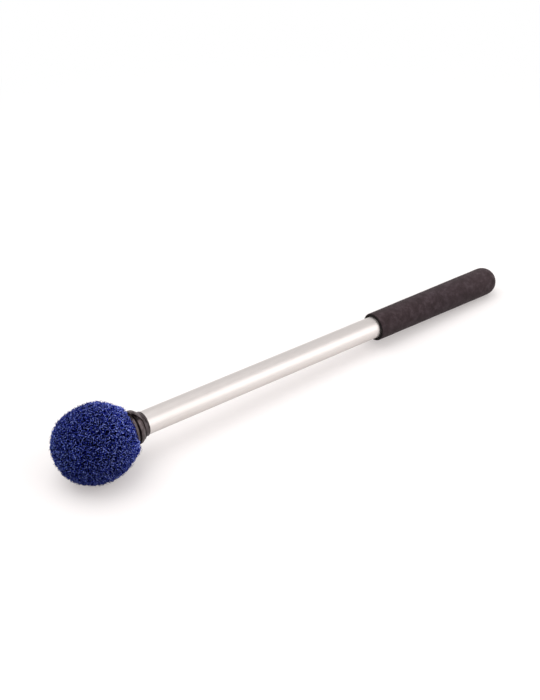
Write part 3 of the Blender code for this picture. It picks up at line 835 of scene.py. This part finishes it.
def lift_from_floor(points):
    """The points in the frame, with each loop that reaches below the floor raised to it."""
    turn = np.array(AXIS.to_3x3())
    world = points @ turn.T + np.array(AXIS.translation)
    low = np.minimum(world[..., 2].min(axis=1), 0)
    world[..., 2] -= low[:, None]
    return world


def plush_pile(profile):
    for layer, (name, sizes) in enumerate(LOOP_LAYERS.items()):
        points, loop_faces = grow_loops(profile, *sizes, PILE_SEED + layer)
        world = lift_from_floor(points)
        count, per_loop = world.shape[:2]
        faces = [
            tuple(loop * per_loop + corner for corner in face)
            for loop in range(count)
            for face in loop_faces
        ]
        mesh = smooth_mesh(name, world.reshape(-1, 3), faces)
        material = plush_material(name, *PILE_TONES[name])
        add_piece(name, mesh, material, "plush_cover")


def plush_backing(profile):
    """Knitted cloth under the pile, drawn in and lying along the tube as a tail."""
    sparse = profile[:: len(profile) // BACKING_POINTS]
    sparse = np.vstack([sparse, profile[-1:]])
    run = np.gradient(sparse, axis=0)
    run /= np.linalg.norm(run, axis=1, keepdims=True)
    inward = np.stack([-run[:, 1], run[:, 0]], axis=1)
    outer = sparse + inward * BACKING_DEPTH
    inner = sparse + inward * (BACKING_DEPTH + BACKING_THICKNESS)
    outer[:, 0] = np.maximum(outer[:, 0], 0)
    inner[:, 0] = np.maximum(inner[:, 0], 0)
    keep = outer[:, 0] > TUBE_RADIUS + BACKING_NEAREST
    keep[: len(keep) // 2] = True
    tail = [(TUBE_RADIUS + height, station) for height, station in BACKING_TAIL]
    outline = outer[keep].tolist() + tail + inner[keep][::-1].tolist()
    outline[0] = (0.0, outline[0][1])
    outline[-1] = (0.0, outline[-1][1])
    points, faces = turned(outline, BACKING_STEPS, closed_ring=False)

    station = points[:, 2]
    angle = np.arctan2(points[:, 1], points[:, 0])
    radius = np.hypot(points[:, 0], points[:, 1])
    folded = np.where(radius > SHOULDER_FOOT_RADIUS, gathered(radius, station, angle), radius)
    smooth_from, smooth_to = BACKING_LUMPS_END
    raised = lumps(points, profile) * smooth_step((smooth_to - station) / (smooth_to - smooth_from))
    folded = np.where(radius > TUBE_RADIUS + BACKING_LUMPS_NEAREST, folded + raised, folded)
    factor = np.where(radius > 0, folded / np.maximum(radius, 1e-9), 1)
    points[:, :2] *= factor[:, None]
    mesh = laid_mesh("plush_backing", points, faces)
    clean_mesh(mesh)
    press_on_floor(mesh)
    add_piece("plush_backing", mesh, backing_material(), "plush_cover")


# Binding


def seat_radius(station):
    share = (station - SEAT_SLOPE[0]) / (SEAT_SLOPE[1] - SEAT_SLOPE[0])
    return SEAT_TOP + (SEAT_FOOT - SEAT_TOP) * smooth_step(share)


def strip_course():
    """Degrees wound, and there the stations of the strip's two edges and its thickness."""
    route = np.array(STRIP_ROUTE, float)
    wound = np.arange(route[0, 0], route[-1, 0] + 1, STRIP_STEP)
    soften = np.hanning(STRIP_SOFTEN)
    soften /= soften.sum()
    lines = []
    for column in route.T[1:]:
        line = np.interp(wound, route[:, 0], column) * MM
        padded = np.pad(line, STRIP_SOFTEN // 2, mode="edge")
        lines.append(np.convolve(padded, soften, "valid"))
    return wound, *lines


def wrinkles(degrees, share):
    """Heights across the strip, about -1 to 1."""
    return np.array(
        [
            sum(
                weight * noise.noise(Vector((degrees / length, across * count, layer)))
                for weight, length, count, layer in STRIP_WRINKLES
            )
            for across in share
        ]
    )


def strip_sections(wound, low, high, thick):
    """Lays the strip turn by turn over a relief map, so each lap rests on those under it."""
    grid = np.arange(STRIP_FROM, STRIP_TO, STRIP_GRID)
    relief = np.tile(seat_radius(grid), (360 // STRIP_STEP, 1))
    window = np.ones(round(STRIP_SPAN / STRIP_GRID))
    window /= len(window)
    margin = len(window) // 2
    share = np.linspace(0, 1, STRIP_POINTS)
    edge = 1 - np.abs(2 * share - 1) ** STRIP_EDGE_POWER
    rolled = sum(np.exp(-(((share - place) / STRIP_ROLL_WIDTH) ** 2)) for place in STRIP_ROLLS)
    plain, middle, rolls = STRIP_FORM
    form = plain + middle * edge + rolls * rolled
    sections = []
    for step, degrees in enumerate(wound):
        row = relief[int(round(degrees / STRIP_STEP)) % len(relief)]
        evened = np.convolve(np.pad(row, margin, mode="edge"), window, "same")[margin:-margin]
        station = low[step] + (high[step] - low[step]) * share
        ground = np.interp(station, grid, np.maximum(evened, row))
        top = ground + thick[step] * form + STRIP_WRINKLE * wrinkles(degrees, share) * edge
        covered = (grid >= low[step]) & (grid <= high[step])
        row[covered] = np.maximum(row[covered], np.interp(grid[covered], station, top))
        under = slice(None, None, -STRIP_UNDER_STEP)
        line = list(zip(ground[under] - STRIP_SINK, station[under]))
        line += zip(top, station)
        angle = math.radians(degrees)
        sections.append([(r * math.cos(angle), r * math.sin(angle), z) for r, z in line])
    return sections


def bound_strip():
    wound, low, high, thick = strip_course()
    sections = strip_sections(wound, low, high, thick)
    mesh = laid_mesh("wound_strip", *ring_skin(sections))
    per_ring = len(sections[0])
    first_top = per_ring - STRIP_POINTS
    plain = range(first_top + STRIP_SHADED_EDGES[0], per_ring - 1 - STRIP_SHADED_EDGES[1])
    # Faces along the edges and in the folds take a darker copy of the strip's material, as painted
    # shade
    for face in mesh.polygons:
        ring, corner = divmod(face.index, per_ring)
        in_painted_shade = any(
            start <= wound[ring] < end and corner < first_top + segments
            for start, end, segments in STRIP_FOLD_SHADE
        )
        face.material_index = int(corner not in plain or in_painted_shade)
    clean_mesh(mesh, STRIP_MERGE)
    mesh.set_sharp_from_angle(angle=STRIP_SHARP)
    add_piece("wound_strip", mesh, strip_material("black_strip", 1.0), "binding_strip")
    # The darker copy paints the shade of the edges and folds
    mesh.materials.append(strip_material("black_strip_painted_shade", 0.30))


# Shaft and grip


def shaft():
    inner = TUBE_RADIUS - TUBE_WALL
    edge_radius = TUBE_RADIUS - TUBE_EDGE
    outline = arc(edge_radius, TUBE_START + TUBE_EDGE, TUBE_EDGE, -90, 0, TUBE_EDGE_POINTS)
    outline += [(TUBE_RADIUS, station) for station in np.linspace(*TUBE_RINGS)]
    outline += arc(edge_radius, TUBE_END - TUBE_EDGE, TUBE_EDGE, 0, 90, TUBE_EDGE_POINTS)
    outline += [(inner + TUBE_EDGE, TUBE_END), (inner, TUBE_END - TUBE_EDGE)]
    outline += [(inner, TUBE_START + TUBE_EDGE), (inner + TUBE_EDGE, TUBE_START)]
    mesh = laid_mesh("shaft", *turned(outline, TUBE_STEPS, closed_ring=True))
    clean_mesh(mesh)
    mesh.set_sharp_from_angle(angle=TUBE_SHARP)
    add_piece("shaft", mesh, tube_material(), "shaft_tube")


def foam_grip():
    """Moulded foam sleeve, a little uneven as foam is, domed at its closed end."""
    bore = TUBE_RADIUS + SEAT_GAP
    bore_lip, lip, dome = GRIP_ARC_POINTS
    dome_centre = MALLET_LENGTH - GRIP_BUTT_RADIUS
    outline = [(0.0, GRIP_BORE[1]), (bore, GRIP_BORE[1]), (bore, GRIP_BORE[0])]
    outline += arc(
        bore + GRIP_BORE_LIP, GRIP_MOUTH + GRIP_BORE_LIP, GRIP_BORE_LIP, 180, 270, bore_lip
    )
    outline += arc(GRIP_MOUTH_RADIUS - GRIP_LIP, GRIP_MOUTH + GRIP_LIP, GRIP_LIP, -90, 0, lip)
    for share in np.linspace(0, 1, GRIP_RINGS)[1:-1]:
        station = GRIP_MOUTH + GRIP_LIP + (dome_centre - GRIP_MOUTH - GRIP_LIP) * share
        radius = GRIP_MOUTH_RADIUS + (GRIP_BUTT_RADIUS - GRIP_MOUTH_RADIUS) * share
        outline.append((radius, station))
    outline += arc(0, dome_centre, GRIP_BUTT_RADIUS, 0, 90, dome)
    outline[-1] = (0.0, MALLET_LENGTH)
    points, faces = turned(outline, GRIP_STEPS, closed_ring=False)

    radius = np.hypot(points[:, 0], points[:, 1])
    over_bore, from_mouth = GRIP_SMOOTH
    outside = (radius > bore + over_bore) & (points[:, 2] > GRIP_MOUTH + from_mouth)
    swell = sum(height * smooth_field(points, size, seed) for height, size, seed in GRIP_SWELLS)
    points[outside, :2] *= (1 + swell[outside] / radius[outside])[:, None]
    mesh = laid_mesh("foam_grip", points, faces)
    clean_mesh(mesh)
    press_on_floor(mesh)
    mesh.set_sharp_from_angle(angle=GRIP_SHARP)
    add_piece("foam_grip", mesh, foam_material(), "grip_sleeve")


# Inner pieces


def felt_roll(material):
    """Felt strip wound on the core with soft edges, a little wavy, cut to the head's round."""
    middle = HEAD_LENGTH / 2
    shares = np.linspace(0, 1, FELT_POINTS)
    round_waves, cross_waves, layer = FELT_WAVES
    rings = []
    for step in range(FELT_STEPS + 1):
        wound = FELT_TURNS * step / FELT_STEPS
        angle = 2 * math.pi * wound
        ring = []
        for side, ways in ((0, shares[::-1]), (1, shares)):
            surface = FELT_START + FELT_PITCH * wound + FELT_THICKNESS * side
            reach = FELT_HALF_LENGTH * math.sqrt(max(1 - (surface / FELT_RADIUS) ** 2, 0))
            front, rear = max(FELT_FRONT, middle - reach), middle + reach
            for share in ways:
                station = front + (rear - front) * share
                place = Vector((wound * round_waves, share * cross_waves, layer))
                wave = FELT_WAVE * noise.noise(place)
                edge = min(share, 1 - share) * FELT_ROUNDED
                soft = FELT_ROUNDING * (1 - smooth_step(edge)) * (1 - 2 * side)
                radius = surface + wave + soft
                ring.append((radius * math.cos(angle), radius * math.sin(angle), station))
        rings.append(ring)
    mesh = laid_mesh("felt_roll", *ring_skin(rings))
    clean_mesh(mesh)
    add_piece("felt_roll", mesh, material, "felt_wrap")


def felt_pad(material):
    """Domed felt pad over the striking end, with its pockets for washer and screw head."""
    middle = HEAD_LENGTH / 2
    rim = math.acos((middle - PAD_BACK + PAD_RIM) / FELT_HALF_LENGTH)
    outline = [
        (FELT_RADIUS * math.sin(angle), middle - FELT_HALF_LENGTH * math.cos(angle))
        for angle in np.linspace(0, rim, PAD_POINTS)
    ]
    last = outline[-1][0]
    outwards, forwards = PAD_RIM_BULGE
    outline.append((last + outwards * PAD_RIM, PAD_BACK - forwards * PAD_RIM))
    outline.append((last - PAD_RIM, PAD_BACK))
    level = PAD_BACK
    for radius, depth in PAD_POCKETS:
        outline += [(radius + PAD_POCKET_EDGE, level), (radius, level - PAD_POCKET_EDGE)]
        outline.append((radius, depth))
        level = depth
    outline.append((0.0, level))
    outline[0] = (0.0, middle - FELT_HALF_LENGTH)
    mesh = laid_mesh("felt_pad", *turned(outline, PAD_STEPS, closed_ring=False))
    clean_mesh(mesh)
    mesh.set_sharp_from_angle(angle=PAD_SHARP)
    add_piece("felt_pad", mesh, material, "felt_front_pad")


def two_ply_twine(material):
    """Two twisted plies in one unbroken winding over the gathered cloth."""
    turns = np.linspace(0, TWINE_TURNS, TWINE_TURNS * TWINE_STEPS + 1)
    angle = 2 * math.pi * turns
    twist = angle * (TWINE_RADIUS / TWINE_LAY)
    points, faces = [], []
    for ply in (0, math.pi):
        out = TWINE_RADIUS + TWINE_PLY_RADIUS * np.cos(twist + ply)
        station = TWINE_START + TWINE_PITCH * turns + TWINE_PLY_RADIUS * np.sin(twist + ply)
        rings = []
        for around, reach, place in zip(angle, out, station):
            ring = []
            for side in range(TWINE_SIDES):
                turn = 2 * math.pi * side / TWINE_SIDES
                radius = reach + TWINE_PLY_RADIUS * math.cos(turn)
                along = place + TWINE_PLY_RADIUS * math.sin(turn)
                ring.append((radius * math.cos(around), radius * math.sin(around), along))
            rings.append(ring)
        skin, ply_faces = ring_skin(rings)
        first = sum(len(group) for group in points)
        points.append(skin)
        faces += [tuple(first + corner for corner in face) for face in ply_faces]
    mesh = laid_mesh("twine", np.vstack(points), faces)
    clean_mesh(mesh, TWINE_MERGE)
    add_piece("twine", mesh, material, "tie_cord")


def dress_inner_pieces():
    """Materials for the CAD solids that stay, and felt and twine in place of theirs."""
    finishes = {"wood": wood_material(), "zinc_steel": zinc_material(), "plug": plastic_material()}
    for part in frame["record"]["subparts"]:
        finish = finishes.get(part["material_slot"])
        if finish:
            for slot in frame["nodes"][part["node"]].material_slots:
                slot.material = finish
    felt = felt_material()
    felt_roll(felt)
    felt_pad(felt)
    two_ply_twine(twine_material())


# Studio


def seen_ray(tree):
    """1 for camera, glossy and transmission rays."""
    path = tree.nodes.new("ShaderNodeLightPath")
    total = path.outputs["Is Camera Ray"]
    for kind in ("Is Glossy Ray", "Is Transmission Ray"):
        most = tree.nodes.new("ShaderNodeMath")
        most.operation = "MAXIMUM"
        tree.links.new(total, most.inputs[0])
        tree.links.new(path.outputs[kind], most.inputs[1])
        total = most.outputs["Value"]
    return total


def light_world():
    """White surroundings, which throw more light from overhead than from the sides."""
    world = bpy.data.worlds.new("studio")
    bpy.context.scene.world = world
    world.use_nodes = True
    tree = world.node_tree
    direction = tree.nodes.new("ShaderNodeSeparateXYZ")
    place = tree.nodes.new("ShaderNodeTexCoord")
    tree.links.new(place.outputs["Generated"], direction.inputs["Vector"])
    cast = tree.nodes.new("ShaderNodeMapRange")
    cast.inputs["To Min"].default_value = WORLD_LEVEL
    cast.inputs["To Max"].default_value = WORLD_OVERHEAD
    tree.links.new(direction.outputs["Z"], cast.inputs["Value"])
    strength = tree.nodes.new("ShaderNodeMapRange")
    strength.inputs["To Max"].default_value = 1.0
    tree.links.new(cast.outputs["Result"], strength.inputs["To Min"])
    tree.links.new(seen_ray(tree), strength.inputs["Value"])
    background = tree.nodes["Background"]
    background.inputs["Color"].default_value = (*WHITE, 1)
    tree.links.new(strength.outputs["Result"], background.inputs["Strength"])


def blend_colours(tree, factor, first, second):
    """A mix of two colours, each of them an (r, g, b) tuple or the output of a node."""
    node = tree.nodes.new("ShaderNodeMix")
    node.data_type = "RGBA"
    tree.links.new(factor, node.inputs["Factor"])
    for name, colour in (("A", first), ("B", second)):
        if isinstance(colour, tuple):
            node.inputs[name].default_value = (*colour, 1)
        else:
            tree.links.new(colour, node.inputs[name])
    return node.outputs["Result"]


def floor_material():
    """Pale floor that keeps the shadow near the mallet and is plain white further off."""
    material = bpy.data.materials.new("studio_floor")
    material.use_nodes = True
    tree = material.node_tree
    output = tree.nodes["Material Output"]
    tree.nodes.remove(tree.nodes["Principled BSDF"])
    camera = tree.nodes.new("ShaderNodeLightPath").outputs["Is Camera Ray"]
    tone = blend_colours(tree, seen_ray(tree), FLOOR_COLOUR, FLOOR_MIRRORED)
    lit = tree.nodes.new("ShaderNodeBsdfDiffuse")
    tree.links.new(blend_colours(tree, camera, tone, FLOOR_SEEN), lit.inputs["Color"])
    # Painted light: an even glow, seen only by the camera, that lightens and warms the shadow on
    # the floor
    glow = tree.nodes.new("ShaderNodeEmission")
    glow.inputs["Color"].default_value = (*FLOOR_GLOW, 1)
    tree.links.new(camera, glow.inputs["Strength"])
    near = tree.nodes.new("ShaderNodeAddShader")
    tree.links.new(lit.outputs["BSDF"], near.inputs[0])
    tree.links.new(glow.outputs["Emission"], near.inputs[1])
    white = tree.nodes.new("ShaderNodeEmission")
    place = tree.nodes.new("ShaderNodeTexCoord")
    distance = tree.nodes.new("ShaderNodeVectorMath")
    distance.operation = "LENGTH"
    tree.links.new(place.outputs["Object"], distance.inputs[0])
    fade = tree.nodes.new("ShaderNodeMapRange")
    fade.interpolation_type = "SMOOTHSTEP"
    fade.inputs["From Min"].default_value, fade.inputs["From Max"].default_value = FLOOR_FADE
    tree.links.new(distance.outputs["Value"], fade.inputs["Value"])
    far = tree.nodes.new("ShaderNodeMath")
    far.operation = "MULTIPLY"
    tree.links.new(fade.outputs["Result"], far.inputs[0])
    tree.links.new(camera, far.inputs[1])
    mix = tree.nodes.new("ShaderNodeMixShader")
    tree.links.new(far.outputs["Value"], mix.inputs["Fac"])
    tree.links.new(near.outputs["Shader"], mix.inputs[1])
    tree.links.new(white.outputs["Emission"], mix.inputs[2])
    tree.links.new(mix.outputs["Shader"], output.inputs["Surface"])
    return material


def lay_floor():
    mesh = bpy.data.meshes.new("studio_floor")
    half = FLOOR_SIZE / 2
    corners = [(-half, -half, 0), (half, -half, 0), (half, half, 0), (-half, half, 0)]
    mesh.from_pydata(corners, [], [(0, 1, 2, 3)])
    new_object("studio_floor", mesh, floor_material())


def softbox(name, place, size, radiance):
    """A rectangular lamp of this radiance, aimed at the mallet."""
    lamp = bpy.data.lights.new(name, "AREA")
    lamp.shape = "RECTANGLE"
    lamp.size, lamp.size_y = size
    lamp.energy = math.pi * radiance * size[0] * size[1]
    holder = bpy.data.objects.new(name, lamp)
    holder.location = place
    holder.rotation_euler = (-Vector(place)).to_track_quat("-Z", "Y").to_euler()
    bpy.context.scene.collection.objects.link(holder)


def place_camera():
    """The photograph's view, which has the neck at its own pixel and depth."""
    azimuth, elevation = CAMERA_AZIMUTH, CAMERA_ELEVATION
    level = math.cos(elevation)
    back = Vector((math.sin(azimuth) * level, -math.cos(azimuth) * level, math.sin(elevation)))
    right = Vector((math.cos(azimuth), math.sin(azimuth), 0))
    up = back.cross(right)
    across = (NECK_PIXEL[0] + 0.5 - IMAGE_WIDTH / 2) / FOCAL_PIXELS
    down = (NECK_PIXEL[1] + 0.5 - IMAGE_HEIGHT / 2) / FOCAL_PIXELS
    neck = AXIS @ Vector((0, 0, NECK_STATION))
    lens = bpy.data.cameras.new("camera")
    lens.lens = FOCAL_PIXELS * SENSOR / IMAGE_HEIGHT
    lens.sensor_width = SENSOR
    lens.clip_start, lens.clip_end = CAMERA_CLIP
    holder = bpy.data.objects.new("camera", lens)
    turn = Matrix((right, up, back)).transposed().to_4x4()
    place = neck + NECK_DEPTH * (back - right * across + up * down)
    holder.matrix_world = Matrix.Translation(place) @ turn
    bpy.context.scene.collection.objects.link(holder)
    bpy.context.scene.camera = holder


HEAD_PROFILE = head_profile()
place_camera()
plush_pile(HEAD_PROFILE)
plush_backing(HEAD_PROFILE)
bound_strip()
shaft()
foam_grip()
dress_inner_pieces()
lay_floor()
light_world()
for box_name, box_values in SOFTBOXES.items():
    softbox(box_name, *box_values)
bpy.context.scene.view_settings.view_transform = "Standard"
